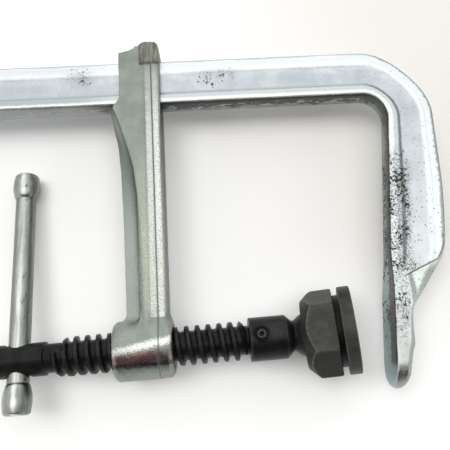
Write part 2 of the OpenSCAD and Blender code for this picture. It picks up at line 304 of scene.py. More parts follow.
def carve(obj, frame_of, mesh, place):
    """Cuts a mesh out of a piece, for good; the piece's marks are carried over from the nearest old vertex."""
    old, name = obj.data, obj.data.name
    tree = KDTree(len(old.vertices))
    for i, co in enumerate(places_of(old)):
        tree.insert(co, i)
    tree.balance()
    marks = {}
    for mark in old.attributes:
        if mark.data_type == "FLOAT" and mark.domain == "POINT":
            marks[mark.name] = np.empty(len(mark.data), np.float32)
            mark.data.foreach_get("value", marks[mark.name])
    tool = piece("tool", mesh, place, None, (), old.materials[0])
    mod = obj.modifiers.new("cut", "BOOLEAN")
    mod.operation, mod.solver, mod.object = "DIFFERENCE", "EXACT", tool
    data = bpy.data.meshes.new_from_object(obj.evaluated_get(bpy.context.evaluated_depsgraph_get()))
    obj.modifiers.clear()
    obj.data = data
    used = tool.data
    bpy.data.objects.remove(tool)
    bpy.data.meshes.remove(used)
    bpy.data.meshes.remove(old)
    data.name = name
    places = places_of(data)
    data.attributes["own"].data.foreach_set("vector", frame_of.own(places).astype(np.float32).ravel())
    nearest = np.array([tree.find(co)[1] for co in places])
    for key, values in marks.items():
        data.attributes[key].data.foreach_set("value", values[nearest])
    data.set_sharp_from_angle(angle=math.radians(CARVED_SHARP))


# ---- materials
class Nodes:
    """A node tree, with short ways to add what the finishes below share. `place` is where its patterns are
    taken, and `color` is the colour so far."""

    def __init__(self, owner):
        owner.use_nodes = True
        self.owner, self.tree = owner, owner.node_tree
        self.place = self.color = None

    def add(self, kind, inputs=None, **props):
        node = self.tree.nodes.new("ShaderNode" + kind)
        for key, value in props.items():
            setattr(node, key, value)
        for key, value in (inputs or {}).items():
            self.put(node.inputs[key], value)
        return node

    def put(self, socket, value):
        if isinstance(value, bpy.types.NodeSocket):
            self.tree.links.new(value, socket)
        else:
            socket.default_value = value

    def own(self):
        return self.add("Attribute", attribute_name="own").outputs["Vector"]

    def marks(self, *names):
        return [self.add("Attribute", attribute_name=name).outputs["Fac"] for name in names]

    def stretched(self, scale):
        return self.add("Mapping", {"Vector": self.place, "Scale": scale}).outputs[0] if scale else self.place

    def noise(self, scale, detail=3.0, rough=0.55, stretch=None):
        return self.add("TexNoise", {"Vector": self.stretched(stretch), "Scale": scale, "Detail": detail,
                                     "Roughness": rough}).outputs["Fac"]

    def cells(self, scale, stretch=None):
        return self.add("TexVoronoi", {"Vector": self.stretched(stretch), "Scale": scale}).outputs["Distance"]

    def math(self, op, *values):
        node = self.add("Math", operation=op)
        for socket, value in zip(node.inputs, values):
            self.put(socket, value)
        return node.outputs[0]

    def plus(self, a, b):
        return self.math("ADD", a, b)

    def minus(self, a, b):
        return self.math("SUBTRACT", a, b)

    def most(self, a, b):
        return self.math("MAXIMUM", a, b)

    def times(self, value, *others):
        for other in others:
            value = self.math("MULTIPLY", value, other)
        return value

    def scaled(self, value, factor, plus):
        return self.math("MULTIPLY_ADD", value, factor, plus)

    def ramp(self, value, a, b, low=0.0, high=1.0):
        inputs = {"Value": value, "From Min": a, "From Max": b, "To Min": low, "To Max": high}
        return self.add("MapRange", inputs, interpolation_type="SMOOTHSTEP").outputs[0]

    def band(self, value, a, b, soft):
        return self.times(self.ramp(value, a - soft, a + soft), self.ramp(value, b - soft, b + soft, 1.0, 0.0))

    def mix(self, fac, a, b):
        node = self.add("Mix", {"Factor": fac}, data_type="RGBA")
        for socket, value in ((node.inputs[6], a), (node.inputs[7], b)):
            self.put(socket, value if isinstance(value, bpy.types.NodeSocket) else (*value, 1.0))
        return node.outputs[2]

    def paint(self, fac, tone):
        """Lays a tone over the colour so far."""
        self.color = self.mix(fac, self.color, tone)

    def plane(self, normal, point=(0.0, 0.0, 0.0)):
        """How far a place lies beyond the plane through `point`, along `normal`."""
        dot = self.add("VectorMath", operation="DOT_PRODUCT")
        self.put(dot.inputs[0], self.place)
        direction = Vector(normal).normalized()
        dot.inputs[1].default_value = direction
        return self.minus(dot.outputs["Value"], direction.dot(Vector(point)))

    def bump(self, height, distance):
        return self.add("Bump", {"Height": height, "Distance": distance}).outputs[0]

    def finish(self, **values):
        shader = self.tree.nodes["Principled BSDF"]
        names = {"metal": "Metallic", "rough": "Roughness", "normal": "Normal",
                 "specular": "Specular IOR Level"}
        self.put(shader.inputs["Base Color"], self.color)
        for key, value in values.items():
            self.put(shader.inputs[names[key]], value)
        return self.owner


MM = 0.001


def rail_finish():
    n = Nodes(bpy.data.materials.new("rail_zinc"))
    n.place = n.own()
    cloud, fine = n.noise(0.09, 4), n.noise(0.9, 4, 0.7)
    grain, ragged = n.noise(2.6, 2, 0.6), n.noise(0.55, 3, 0.7)
    wobble = n.minus(ragged, 0.5)
    wall, back, limb, jaw = n.marks("wall", "back", "limb", "jaw")
    beyond, specks, across = n.marks("beyond", "specks", "across")
    across = n.scaled(wobble, 0.06, across)
    blade = n.minus(1.0, jaw)
    up, high = n.plane((0, 1, 0)), n.plane((0, 0, 1))
    far = n.ramp(n.plane((1, 0, 0)), -70.0, -45.0, 1.0, 0.0)

    # plating tone in the rolled recess; painted highlights on the bevel and the inner edge, and painted shade
    # in the step
    n.color = n.mix(n.ramp(cloud, 0.3, 0.7), (0.54, 0.58, 0.615), (0.68, 0.715, 0.745))
    n.paint(n.ramp(fine, 0.45, 0.7, 0.0, 0.3), (0.42, 0.46, 0.47))
    n.paint(n.times(n.ramp(up, -80.0, -35.0, 0.6, 0.0), limb), (0.84, 0.87, 0.89))
    # painted highlight on the outer bevel
    n.paint(n.times(n.ramp(across, 0.66, 0.74), blade), (0.88, 0.91, 0.92))
    n.paint(n.times(n.band(across, 0.13, 0.21, 0.02), blade), (0.66, 0.70, 0.70))
    # painted highlight along the inner edge
    n.paint(n.ramp(across, 0.10, 0.14, 1.0, 0.0), (0.93, 0.95, 0.94))
    dull = (0.50, 0.55, 0.56)
    n.paint(n.times(far, 0.16), dull)
    n.paint(n.times(far, n.band(across, 0.1, 0.26, 0.02)), dull)
    # painted shade in the step into the recess
    step = n.mix(limb, (0.50, 0.54, 0.55), (0.24, 0.265, 0.265))
    n.paint(n.times(n.band(across, 0.22, 0.29, 0.02), blade), step)

    # jaw: a painted highlight over it, painted shade on the outer slope, a painted highlight streak on the
    # facet under the fold, and a painted dark reflection at the tip
    n.paint(jaw, (0.80, 0.84, 0.82))
    n.paint(n.times(n.ramp(n.scaled(wobble, 1.5, beyond), -1.0, 0.4), jaw), (0.40, 0.44, 0.42))
    fold = n.math("MINIMUM", n.plane((-0.389, 0.921, 0), (97.4, -98.0, 0)),
                  n.plane((-0.867, 0.498, 0), (114.0, -91.0, 0)))
    # painted dark reflection on the jaw's tip
    tip = n.ramp(n.scaled(wobble, 7.0, up), -145.5, -142.5, 1.0, 0.0)
    n.paint(n.times(tip, 0.9), (0.30, 0.32, 0.30))
    # painted highlight streak on the facet under the fold
    facet = n.ramp(n.scaled(wobble, 4.0, n.plane((-0.838, 0.546, 0), (119.0, -84.0, 0))), 1.2, 3.6)
    outside = n.ramp(n.scaled(wobble, 2.0, n.plane((1, 0.16, 0), (99.4, -99.0, 0))), -0.8, 1.2)
    streak = n.times(facet, outside, n.ramp(fold, -0.5, 0.0, 1.0, 0.0))
    n.paint(n.times(streak, n.ramp(up, -113.0, -109.0)), (0.93, 0.98, 0.95))
    # painted shade along the crease of the fold
    crease = n.times(n.band(fold, -0.3, 0.3, 0.28), n.ramp(beyond, -4.0, -1.0))

    # black scale left in pits, in clusters where `specks` is high, and single dots down the limb
    spots = n.noise(0.62, 3, 0.72)
    patch = n.noise(0.2, 2, stretch=(1.0, 0.6, 1.0))
    reach = n.times(specks, n.ramp(patch, 0.36, 0.6, 0.55, 1.0), n.scaled(jaw, -0.15, 1.0))
    dark = n.ramp(n.minus(spots, n.scaled(reach, -0.2, 0.79)), 0.0, 0.012)
    dots = n.ramp(n.cells(0.45), 0.14, 0.19, 1.0, 0.0)
    dots = n.times(n.ramp(patch, 0.38, 0.48), n.ramp(up, -20.0, -60.0, 0.45, 1.0), limb, dots)
    dark = n.most(dark, n.times(dots, 0.8))
    # grey pepper between the pits, where the scale is thickest
    pepper = n.ramp(n.noise(1.1, 2, 0.6), 0.50, 0.53)
    thick = n.ramp(n.scaled(jaw, 0.2, specks), 0.5, 1.3, 0.0, n.scaled(jaw, -0.04, 0.72))
    n.paint(n.times(pepper, n.scaled(limb, 0.8, 0.2), thick), (0.20, 0.22, 0.215))

    # side walls: ragged painted shade, darker in their upper part and lighter below, with lighter flakes low
    # down, and lighter on the limb and at the far end; the jaw's face is greenish grey with a ragged painted
    # dark reflection in its upper part
    depth = n.scaled(n.minus(cloud, 0.5), 14.0, n.scaled(wobble, 9.0, high))
    wall_tone = n.mix(n.ramp(depth, -2.2, -0.6), (0.25, 0.27, 0.255), (0.065, 0.067, 0.063))
    flakes = n.ramp(n.noise(0.45, 3, 0.7, stretch=(0.35, 1.0, 1.0)), 0.54, 0.58)
    wall_tone = n.mix(n.times(flakes, n.ramp(high, 3.5, 1.0)), wall_tone, (0.36, 0.38, 0.36))
    limb_tone = n.mix(n.ramp(depth, -3.0, 2.0), (0.30, 0.335, 0.315), (0.13, 0.148, 0.138))
    wall_tone = n.mix(n.times(limb, 0.6), wall_tone, limb_tone)
    wall_tone = n.mix(n.times(far, 0.65), wall_tone, (0.43, 0.45, 0.43))
    # painted dark reflection on the jaw's face, reaching furthest down near y = -118
    dip = n.ramp(n.math("ABSOLUTE", n.plane((0, 1, 0), (0, -118.0, 0))), 0.0, 5.0, 4.5, 0.0)
    face_reflection = n.ramp(n.scaled(wobble, 6.0, n.plus(high, dip)), 1.0, 2.6)
    jaw_tone = n.mix(n.times(face_reflection, n.ramp(up, -143.0, -139.0)), (0.33, 0.42, 0.43), (0.115, 0.125, 0.12))
    n.paint(n.ramp(wall, 0.50, 0.62), n.mix(jaw, wall_tone, jaw_tone))

    # painted shade lines beside the walls and in the fold; the limb's outer edge carries a grainy painted shade
    # band, with a fine painted shade line beside it
    line = n.times(n.band(wall, 0.40, 0.58, 0.06), n.ramp(ragged, 0.3, 0.5))
    dark = n.most(dark, n.times(line, n.times(blade, 0.9)))
    dark = n.most(dark, n.times(crease, 0.85))
    flat = n.times(limb, blade)
    edge_shade = n.ramp(n.scaled(wobble, 0.08, across), 0.905, 0.94, 0.0, 0.9)
    rim = n.ramp(n.scaled(wobble, 0.12, back), 0.04, 0.2)
    rim = n.most(rim, n.times(flat, edge_shade, n.ramp(grain, 0.35, 0.6, 0.55, 1.0)))
    rim = n.most(rim, n.times(n.band(across, 0.79, 0.80, 0.012), 0.4, flat))
    n.paint(n.times(rim, n.scaled(limb, 0.4, 0.6)), (0.25, 0.28, 0.28))
    n.paint(dark, (0.03, 0.032, 0.03))

    rough = n.plus(n.ramp(fine, 0.3, 0.7, 0.28, 0.44), n.times(dark, 0.35))
    height = n.scaled(n.times(grain, reach), 1.4, n.times(fine, 0.4))
    height = n.minus(height, n.times(dark, 0.8))
    return n.finish(metal=n.minus(1.0, n.times(dark, 0.8)), rough=rough, normal=n.bump(height, 0.12 * MM))


def arm_finish():
    n = Nodes(bpy.data.materials.new("arm_zinc"))
    n.place = n.own()
    cloud = n.noise(0.11, 4)
    grain, sparkle = n.noise(1.7, 3, 0.7), n.noise(3.2, 2, 0.6)
    wobble = n.minus(n.noise(0.5, 3, 0.7), 0.5)
    low, ridge, hollow, boss, cap, thin = n.marks("low", "ridge", "hollow", "boss", "pad", "thin")
    upper, off, steep, seam = n.marks("upper", "off", "steep", "seam")
    n.color = n.mix(n.ramp(cloud, 0.3, 0.7), (0.27, 0.30, 0.265), (0.35, 0.38, 0.34))
    n.paint(n.times(low, 0.7), (0.56, 0.58, 0.47))
    web_tone = n.mix(n.ramp(n.plane((0, 1, 0)), -85.0, -20.0), (0.38, 0.425, 0.40), (0.18, 0.20, 0.185))
    n.paint(n.times(thin, 0.9), web_tone)
    # painted shade in the fillet along the plate's edge
    n.paint(n.times(hollow, n.ramp(cloud, 0.3, 0.7, 0.75, 1.0)), (0.12, 0.165, 0.16))
    n.paint(n.times(low, n.ramp(sparkle, 0.48, 0.68, 0.0, 0.7)), (0.60, 0.63, 0.56))
    # painted highlights: two bright strips with a fine grain, either side of the parting line
    beside = n.scaled(wobble, 0.9, n.plane((1, 0, 0)))
    strips = n.most(n.times(n.band(beside, -30.4, -27.3, 0.3), 0.78), n.band(beside, -26.6, -23.7, 0.25))
    n.paint(n.times(strips, ridge, n.ramp(grain, 0.36, 0.56, 0.15, 1.0)), (0.90, 0.91, 0.88))
    # on the boss: a painted highlight along its crown, and a dark, warm painted reflection below it
    off = n.scaled(n.minus(grain, 0.5), 6.0, n.scaled(wobble, 2.5, off))
    along = n.plane((1, 0, 0), (-35, 0, 0))
    crown = n.times(boss, upper)
    shine = n.times(n.band(n.scaled(along, -0.16, off), 0.2, 3.4, 0.7), n.ramp(along, -14, 8, 0.6, 1.0))
    n.paint(n.times(crown, shine), (0.92, 0.92, 0.88))
    warm = n.mix(n.ramp(along, 3.0, 9.0), (0.36, 0.20, 0.205), (0.28, 0.25, 0.23))
    warm = n.mix(n.ramp(off, -6.6, -4.6), (0.055, 0.055, 0.058), warm)
    shade = n.times(n.ramp(n.scaled(along, -0.1, off), -2.2, -0.4, 1.0, 0.0), n.ramp(off, -8.2, -7.4))
    n.paint(n.times(crown, n.times(shade, 0.95)), warm)
    n.paint(n.times(crown, n.ramp(off, -8.4, -7.6, 0.6, 0.0)), (0.19, 0.205, 0.20))
    # painted shade on the steep sides
    n.paint(n.times(steep, 0.85), (0.09, 0.10, 0.09))
    n.paint(seam, (0.10, 0.11, 0.10))
    # brown streaks on the pad at the top of the head
    streaks = n.noise(0.7, 3, 0.65, stretch=(1.0, 0.16, 1.0))
    n.paint(n.times(cap, 0.9), n.mix(n.ramp(streaks, 0.4, 0.62), (0.19, 0.18, 0.15), (0.34, 0.335, 0.29)))
    rough = n.ramp(grain, 0.3, 0.7, 0.40, 0.52)
    for mark, smoother in ((ridge, 0.10), (low, 0.12), (boss, 0.19)):
        rough = n.minus(rough, n.times(mark, smoother))
    height = n.scaled(sparkle, n.scaled(low, 0.8, 0.35), n.times(grain, 0.5))
    height = n.scaled(streaks, n.times(cap, 2.5), height)
    height = n.scaled(grain, n.times(boss, 0.5), height)
    return n.finish(metal=0.95, rough=n.scaled(cap, 0.15, rough), normal=n.bump(height, 0.14 * MM))


def black_finish(name, base, light, rough_low, rough_high, bright_edge):
    n = Nodes(bpy.data.materials.new(name))
    n.place = n.own()
    cloud, fine = n.noise(0.16, 4), n.noise(1.6, 4, 0.65)
    scratch = n.noise(1.9, 4, 0.7, stretch=(0.25, 1.0, 1.0))
    turned, dim, edge = n.marks("turned", "dim", "edge")
    n.color = n.mix(n.ramp(cloud, 0.3, 0.7), base, light)
    n.paint(n.ramp(scratch, 0.56, 0.72, 0.0, 0.5), tuple(1.7 * c for c in light))
    # faint arcs of the facing cut, and a few bright nicks
    radius = n.add("VectorMath", {"Vector": n.place}, operation="LENGTH").outputs["Value"]
    arcs = n.ramp(n.math("SINE", n.times(radius, 9.0)), 0.6, 1.0, 0.0, 0.2)
    n.paint(n.times(arcs, n.ramp(cloud, 0.5, 0.6), turned), tuple(2.2 * c for c in light))
    nicks = n.ramp(n.cells(0.11, stretch=(0.5, 1.0, 1.0)), 0.05, 0.065, 0.8, 0.0)
    n.paint(n.times(nicks, turned), (0.5, 0.5, 0.48))
    # painted shade where the dim mark is set
    n.paint(dim, tuple(0.14 * c for c in base))
    n.paint(n.times(edge, n.ramp(fine, 0.38, 0.62, 0.2, 1.0)), bright_edge)
    return n.finish(metal=0.55, specular=0.28, rough=n.ramp(fine, 0.3, 0.7, rough_low, rough_high),
                    normal=n.bump(n.plus(fine, n.times(scratch, 0.6)), 0.05 * MM))


def bar_finish():
    n = Nodes(bpy.data.materials.new("bar_zinc"))
    n.place = n.own()
    streak = n.noise(1.1, 4, 0.65, stretch=(1.0, 0.05, 1.0))
    hair = n.noise(4.0, 3, 0.7, stretch=(1.0, 0.02, 1.0))
    cloud, fine = n.noise(0.14, 4), n.noise(1.4, 4, 0.7)
    n.color = n.mix(n.ramp(cloud, 0.3, 0.7), (0.40, 0.415, 0.385), (0.53, 0.545, 0.51))
    n.paint(n.ramp(streak, 0.45, 0.68, 0.0, 0.55), (0.27, 0.285, 0.27))
    n.paint(n.ramp(fine, 0.60, 0.72, 0.0, 0.6), (0.25, 0.26, 0.25))
    # painted shade on the sides, weaker on the knobs, and a painted highlight line between them that breaks up
    # along the bar
    side = n.plane((1, 0, 0))
    away = n.math("ABSOLUTE", n.minus(side, 0.3))
    rod = n.scaled(*n.marks("knob"), -0.65, 1.0)
    n.paint(n.times(rod, n.ramp(away, 1.2, 3.6, 0.0, 0.75)), (0.25, 0.262, 0.242))
    n.paint(n.times(rod, n.ramp(side, -1.2, -3.4, 0.0, 0.8)), (0.20, 0.21, 0.195))
    near = n.ramp(n.plane((0, 1, 0)), 70.0, 35.0, 0.3, 1.0)
    broken = n.times(n.ramp(streak, 0.4, 0.62, 1.0, 0.35), near)
    n.paint(n.times(n.ramp(away, 0.4, 1.7, 0.95, 0.0), broken), (0.93, 0.94, 0.92))
    # painted shade on one side, with dark dent marks in it
    n.paint(n.times(n.ramp(side, 1.5, 4.6), n.ramp(streak, 0.35, 0.6, 0.5, 1.0)), (0.17, 0.18, 0.17))
    dents = n.ramp(n.noise(0.5, 3, 0.7, stretch=(0.8, 0.3, 1.0)), 0.62, 0.66)
    n.paint(n.times(dents, n.ramp(side, 0.5, 2.5), 0.85), (0.07, 0.075, 0.07))
    height = n.plus(n.times(hair, 0.8), n.times(fine, 0.5))
    return n.finish(metal=1.0, rough=n.ramp(streak, 0.3, 0.7, 0.24, 0.40), normal=n.bump(height, 0.06 * MM))


def plain_metal(name, a, b, rough_low, rough_high):
    """Mottled metal for the stop pin and the seat ring."""
    n = Nodes(bpy.data.materials.new(name))
    n.place = n.add("TexCoord").outputs["Object"]
    n.place = n.stretched((1000, 1000, 1000))
    cloud, fine = n.noise(0.3, 4), n.noise(2.2, 3, 0.6)
    n.color = n.mix(n.ramp(cloud, 0.3, 0.7), a, b)
    return n.finish(metal=1.0, rough=n.ramp(fine, 0.3, 0.7, rough_low, rough_high),
                    normal=n.bump(fine, 0.04 * MM))


RAIL_ZINC = rail_finish()
ARM_ZINC = arm_finish()
SCREW_BLACK = black_finish("screw_black", (0.008, 0.008, 0.0078), (0.017, 0.017, 0.016), 0.30, 0.46,
                           (0.10, 0.10, 0.095))
PAD_BLACK = black_finish("pad_black", (0.040, 0.040, 0.037), (0.060, 0.059, 0.053), 0.38, 0.55,
                         (0.30, 0.29, 0.27))
BAR_ZINC = bar_finish()
PIN_STEEL = plain_metal("pin_steel", (0.46, 0.46, 0.45), (0.62, 0.62, 0.60), 0.28, 0.42)
RING_STEEL = plain_metal("ring_steel", (0.05, 0.05, 0.048), (0.10, 0.10, 0.095), 0.34, 0.50)


# ---- rail: one bar, rolled with a shallow recess in each face, bent and forged out into the fixed jaw
HALF_T = 6.25
BEND = np.array([85.5, -12.5])
BEND_IN, LIMB_W, LIMB_END_W, LEAN, LIMB_Y = 12.5, 25.2, 28.5, 6.0, -80.0
RECESS, BOW, BEND_STEPS, END_TRIM, END_RUN = 1.3, 1.4, 36, 0.9, 1.2
FACE_X, FACE_Y, FACE_LEAN = 87.15, -122.4, 5.3
# y, inner x, outer x, crease x, half height inside, at the crease, outside
JAW = [
    (-84, 90.5, 119.2, 118.2, 6.25, 6.25, 4.8),
    (-88.5, 90.1, 118.0, 116.0, 6.5, 6.3, 4.0),
    (-91.5, 89.9, 116.4, 113.0, 6.9, 6.4, 3.5),
    (-94.7, 89.6, 114.2, 105.0, 7.6, 6.8, 3.1),
    (-98, 89.3, 111.8, 97.4, 8.5, 8.0, 2.9),
    (-103, 88.8, 108.1, 97.2, 9.6, 9.3, 3.1),
    (-109, 88.2, 103.1, 97.2, 10.3, 10.2, 4.4),
    (-113, 87.8, 99.3, 96.8, 10.5, 10.5, 6.6),
    (-116, 87.5, 97.3, 96.0, 10.5, 10.5, 8.6),
    (-120, 87.2, 96.5, 95.0, 10.5, 10.5, 9.4),
    (-126, 86.6, 96.0, 94.2, 10.5, 10.5, 9.6),
    (-131.5, 86.1, 95.9, 93.6, 10.5, 10.5, 9.6),
    (-134.5, 85.9, 94.7, 92.6, 10.5, 10.5, 9.6),
    (-140, 85.4, 93.4, 91.4, 10.5, 10.5, 9.4),
    (-145, 85.0, 92.3, 90.6, 9.7, 9.7, 9.0),
    (-148.5, 84.8, 91.2, 89.8, 7.9, 7.9, 7.3),
    (-150.8, 85.0, 90.0, 88.8, 5.7, 5.7, 5.1),
    (-152.1, 85.6, 89.0, 87.8, 3.5, 3.5, 3.0),
    (-152.6, 86.3, 88.0, 87.2, 1.9, 1.9, 1.6)]


def rail_stations():
    """Rows of: inner x, y, outer x, y, crease, half heights inside, at the crease, outside, recess, blend."""
    def outward(a):
        return np.array([math.sin(a), math.cos(a)])

    last = math.radians(90 + LEAN)
    rows = []
    # the straight run, trimmed at its end
    ends = [RAIL_LEFT, RAIL_LEFT + 0.5, RAIL_LEFT + END_RUN]
    for x in np.concatenate([ends, np.arange(RAIL_LEFT + 3, 84, 2.0)]):
        trim = END_TRIM * (1 - min(1, (x - RAIL_LEFT) / END_RUN)) ** 2
        rows.append([x, trim, x, RAIL_H - trim, RAIL_H - 2 * trim, *[HALF_T - trim] * 3, RECESS, 0])
    # the bend
    for i in range(BEND_STEPS + 1):
        a = last * i / BEND_STEPS
        wide = RAIL_H - 2.4 * math.sin(2 * a) ** 2 if i < BEND_STEPS else LIMB_W
        p, q = BEND + BEND_IN * outward(a), BEND + (BEND_IN + wide) * outward(a)
        rows.append([*p, *q, wide, HALF_T, HALF_T, HALF_T, RECESS, 0])
    # the limb
    in0, out0 = np.array(rows[-1][0:2]), np.array(rows[-1][2:4])
    in1 = np.array([in0[0] + (LIMB_Y - in0[1]) * math.tan(math.radians(LEAN)), LIMB_Y])
    out1 = in1 + [LIMB_END_W, 0]
    for t in np.linspace(0, 1, 36)[1:]:
        bow = BOW * math.sin(math.pi * t ** 1.3)
        p, q = in0 + (in1 - in0) * t, out0 + (out1 - out0) * t + [bow, 0]
        rows.append([*p, *q, np.linalg.norm(q - p), HALF_T, HALF_T, HALF_T, RECESS * (1 - t ** 3), t ** 3])
    # the jaw
    jaw = np.array([[j[1], j[0], j[2], j[0], j[3] - j[1], j[4], j[5], j[6], 0, 1] for j in JAW])
    start = np.array([rows[-1]])
    start[0, 4] = LIMB_END_W - 1.2
    rows[-1] = start[0].tolist()
    knots = np.vstack([start, jaw])
    ys = -knots[:, 1]
    fine = np.unique(np.concatenate([np.arange(ys[0], ys[-1], 1.25), ys]))[1:]
    for y in fine:
        rows.append([cubic(ys, knots[:, k], y) for k in range(10)])
    return np.array(rows)


def cubic(xs, ys, x):
    """Smooth value through the knots that never overshoots them."""
    i = int(np.clip(np.searchsorted(xs, x) - 1, 0, len(xs) - 2))
    slopes = np.diff(ys) / np.diff(xs)

    def tangent(k):
        if k == 0 or k == len(xs) - 1:
            return slopes[min(k, len(slopes) - 1)]
        a, b = slopes[k - 1], slopes[k]
        return 0.0 if a * b <= 0 else 2 * a * b / (a + b)

    h = xs[i + 1] - xs[i]
    t = (x - xs[i]) / h
    return (ys[i] * (1 + 2 * t) * (1 - t) ** 2 + h * tangent(i) * t * (1 - t) ** 2
            + ys[i + 1] * t * t * (3 - 2 * t) + h * tangent(i + 1) * t * t * (t - 1))


def rail_ring(row):
    """The section of one station, inner side first, as points and their distances from the inner edge."""
    p, q, c = row[0:2], row[2:4], row[4]
    h_in, h_c, h_out, recess, blend = row[5:]
    w = np.linalg.norm(q - p)
    k = w / RAIL_H
    e = min(1.8, w / 4)
    c = min(max(c, e + 0.3), w - e - 0.3)

    def height(u):
        return h_in + (h_c - h_in) * u / c if u <= c else h_c + (h_out - h_c) * (u - c) / (w - c)

    def between(a, b):
        return a + (b - a) * blend

    us = [between(5.0 * k, e + (c - e) * 0.35), between(6.6 * k, e + (c - e) * 0.7),
          between(w - 10.5 * k, c), between(w - 5.5 * k, (c + w - e) / 2)]
    # the upper side's corners: place across, height, how far before the corner its rounding starts
    top = [(0, height(0), between(1.8, 1.5)), (us[0], height(us[0]), 0.7), (us[1], height(us[1]) - recess, 0.9),
           (us[2], height(us[2]) - recess, between(3.0, 0.5)), (us[3], height(us[3]), between(1.8, 0.8)),
           (w, max(height(w), 1.2), between(2.4, 1.2))]
    counts = [3, 1, 6, 2, 3]
    pts = []
    n = len(top)
    for i, (u, h, cut) in enumerate(top):
        before = np.array(top[i - 1][:2]) if i else np.array([0, 0.0])
        after = np.array(top[i + 1][:2]) if i < n - 1 else np.array([w, 0.0])
        here = np.array([u, h])
        lq, lr = np.linalg.norm(before - here), np.linalg.norm(after - here)
        cut_q, cut_r = min(cut, 0.45 * lq), min(cut, 0.45 * lr)
        a, b = here + (before - here) / lq * cut_q, here + (after - here) / lr * cut_r
        for s in range(5):
            t = s / 4
            pts.append((1 - t) ** 2 * a + 2 * t * (1 - t) * here + t * t * b)
        if i < n - 1:
            nxt = top[i + 1]
            cut_n = min(nxt[2], 0.45 * lr)
            stop = np.array(nxt[:2]) + (here - np.array(nxt[:2])) / lr * cut_n
            pts += [b + (stop - b) * (m + 1) / (counts[i] + 1) for m in range(counts[i])]
    outer = [np.array([w, pts[-1][1] * v]) for v in (0.66, 0.33, 0, -0.33, -0.66)]
    back = [np.array([0, pts[0][1] * v]) for v in (-0.66, -0.33, 0, 0.33, 0.66)]
    return pts + outer + [np.array([a[0], -a[1]]) for a in reversed(pts)] + back, w


def rail_mesh():
    rows = rail_stations()
    rings, where = [], []
    for row in rows:
        ring, w = rail_ring(row)
        p, q = row[0:2], row[2:4]
        d = (q - p) / w
        rings.append([(*(p + d * a[0]), a[1]) for a in ring])
        where += [(a[0], w, row[4], row[5], row[7]) for a in ring]
    verts, faces = loft(rings)
    where += [(w / 2, w, w, 6, 6)] * 2  # the middles of the two end faces
    x, y, z = verts.T
    # a rolled and hammered bar is never quite flat
    wave = 0.05 * np.sin(0.11 * x + 0.4) * np.sin(0.35 * y) + 0.04 * np.sin(0.23 * x + 0.17 * y + 1.0)
    verts[:, 2] += np.where(np.abs(z) > 2, np.sign(z) * (wave - 0.09), 0)
    # the clamping face is cut flat
    plane = FACE_X + (y - FACE_Y) * math.tan(math.radians(FACE_LEAN))
    flat = (y < -92.5) & (y > -144.9)
    verts[:, 0] = np.where(flat, np.maximum(verts[:, 0], plane), verts[:, 0])
    x, y, z = verts.T
    u, w, fold_at, high_in, high_out = np.array(where).T
    across = u / w
    # 1 on the side walls, falling to 0 round their rounded edges
    quarter = math.pi / 2
    wall = np.where(u < 2.2, 1 - np.arctan2(u, np.maximum(high_in - np.abs(z), 0)) / quarter, 0)
    back = np.where(w - u < 2.8, 1 - np.arctan2(w - u, np.maximum(high_out - np.abs(z), 0)) / quarter, 0)
    limb = smooth(x, 84, 97)
    jaw = smooth(-y, 90, 97)
    # how much scale is left: a patch by the arm, one further left, the top edge, and the limb's inner side
    specks = 0.25 + 1.15 * np.exp(-((x - 8) / 13) ** 2 - ((y - 13.5) / 7) ** 2) * (y > -3)
    specks += 1.05 * np.exp(-((x + 66) / 10) ** 2 - ((y - 17) / 8) ** 2)
    specks += 0.8 * np.exp(-((y - 24.4) / 1.5) ** 2) * smooth(x, -70, -10) * (1 - smooth(x, 40, 70))
    down, widened, beyond = smooth(-y, 18, 46), smooth(-y, 88, 104), u - fold_at
    inner = 1 - smooth(across, 0.28 + 0.55 * widened, 0.46 + 0.5 * widened)
    thick = 0.32 + 0.92 * inner * (1 - smooth(beyond, -2.5, -0.5) * jaw)
    specks += down * thick * (1 - 0.8 * smooth(-y, 120, 136))
    specks *= 1 - 0.7 * jaw * smooth(beyond, -1.5, 0)
    marks = {"across": across, "wall": np.clip(wall, 0, 1), "back": np.clip(back, 0, 1), "limb": limb,
             "jaw": jaw, "beyond": beyond, "specks": np.clip(specks, 0, 1.5)}
    return (verts, faces), marks


mesh, marks = rail_mesh()
rail = piece("rail_bar", mesh, CLAMP, "rail", ["rail"], RAIL_ZINC, 30, marks)
STOP, STOP_R = CLAMP.at((RAIL_LEFT + 9, RAIL_H / 2, 0)), 2.5
drill = lathe([(-12, 0), (-12, STOP_R), (12, STOP_R), (12, 0)], 48)
carve(rail, CLAMP, swap_axis(drill, "Z"), STOP)


def stop_pin():
    """A rolled spring pin: a split tube with its ends rounded in."""
    steps, half_gap = 44, 0.4
    gap = math.asin(half_gap / STOP_R)
    rings = []
    end = [(1.55, 9.2), (1.85, 9.5, 0.2), (2.15, 9.5, 0.3), (STOP_R, 8.6, 0.4)]
    section = softened([(r, -z, *cut) for r, z, *cut in end] + end[::-1], 3)
    for i in range(steps + 1):
        a = gap + (2 * math.pi - 2 * gap) * i / steps
        rings.append([(r * math.cos(a), r * math.sin(a), z) for r, z in section])
    return loft(rings)


piece("stop_pin", stop_pin(), STOP, "rail", ["rail_stop_pin"], PIN_STEEL, 35)


# ---- sliding arm: a drop forging with its parting line down the flange
HEAD_TOP = [(-44.2, 28.8), (-38.7, 30.1), (-33.4, 32.5), (-30.3, 33.6)]
RAISED = [(-44.2, 3.2), (-47.8, -2.4), (-45.8, -7.6), (-42.1, -18.8), (-39.9, -26.6), (-37.6, -36),
          (-35.9, -51), (-35.1, -66), (-34.4, -89), (-34.0, -118)]
WEB = [(-44.2, 3.2), (-48.5, -3.2), (-47.6, -13), (-46.0, -22), (-44.8, -36), (-43.8, -65), (-43.2, -118)]
SEAM_X = -26.9
ARM_END, BARREL_R, BARREL_HALF, BORE_R, SLOT_PLAY = -118, 14.5, 14.5, 9.55, 0.35


